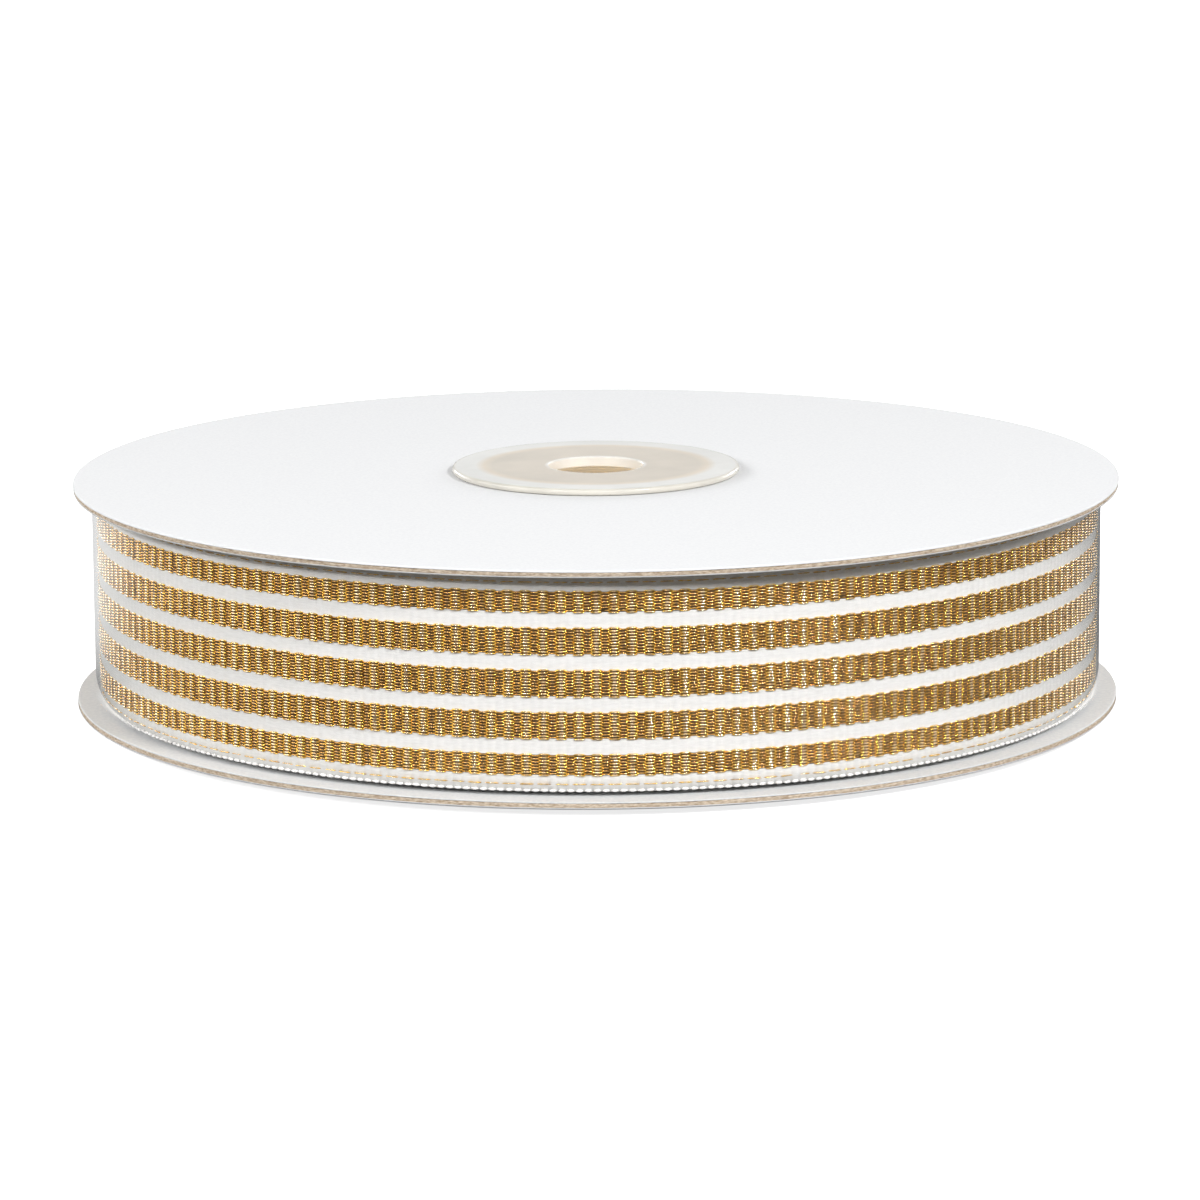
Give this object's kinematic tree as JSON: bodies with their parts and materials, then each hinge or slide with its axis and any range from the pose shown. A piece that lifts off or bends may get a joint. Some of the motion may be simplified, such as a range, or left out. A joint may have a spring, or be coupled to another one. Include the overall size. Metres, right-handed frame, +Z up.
{
  "type": "ribbon spool",
  "caption": "Full spool of striped woven gift ribbon between two turning card discs on a hollow snap-together hub, closed with a clear film band.",
  "frame": {"origin": "centre of the lower hub flange's outer face, where the lying spool stands", "axes": "+Z up along the spool's axis, towards the upper hub flange; +Y towards the film band's joint"},
  "size_m": [0.127, 0.127, 0.029],
  "materials": {
    "hub_plastic": "milky translucent moulded polypropylene, smooth with a soft gloss",
    "chipboard": "pale brown chipboard, fibrous on its cut edge",
    "white_paper": "smooth matt white liner paper",
    "ribbon": "white ribbed weave with five gold metallic stripes and two single gold yarns",
    "clear_film": "clear glossy film",
    "tape": "semi-clear adhesive tape"
  },
  "bodies": {
    "core": {"hub_socket": "hub_plastic", "hub_spigot": "hub_plastic", "ribbon_roll": "ribbon", "start_tape": "tape"},
    "top_disc": {"top_board": "chipboard", "top_outer_paper": "white_paper", "top_inner_paper": "white_paper"},
    "bottom_disc": {"bottom_board": "chipboard", "bottom_outer_paper": "white_paper", "bottom_inner_paper": "white_paper"},
    "band": {"film_band": "clear_film", "band_tab": "tape"}
  },
  "joints": [
    {"name": "top_disc_turn", "type": "hinge", "parent": "core", "child": "top_disc", "pos_m": [0, 0, 0.0277], "axis": [0, 0, 1], "continuous": true},
    {"name": "bottom_disc_turn", "type": "hinge", "parent": "core", "child": "bottom_disc", "pos_m": [0, 0, 0.0013], "axis": [0, 0, 1], "continuous": true},
    {"name": "film_band_turn", "type": "hinge", "parent": "core", "child": "band", "pos_m": [0, 0, 0.0147], "axis": [0, 0, 1], "continuous": true}
  ]
}
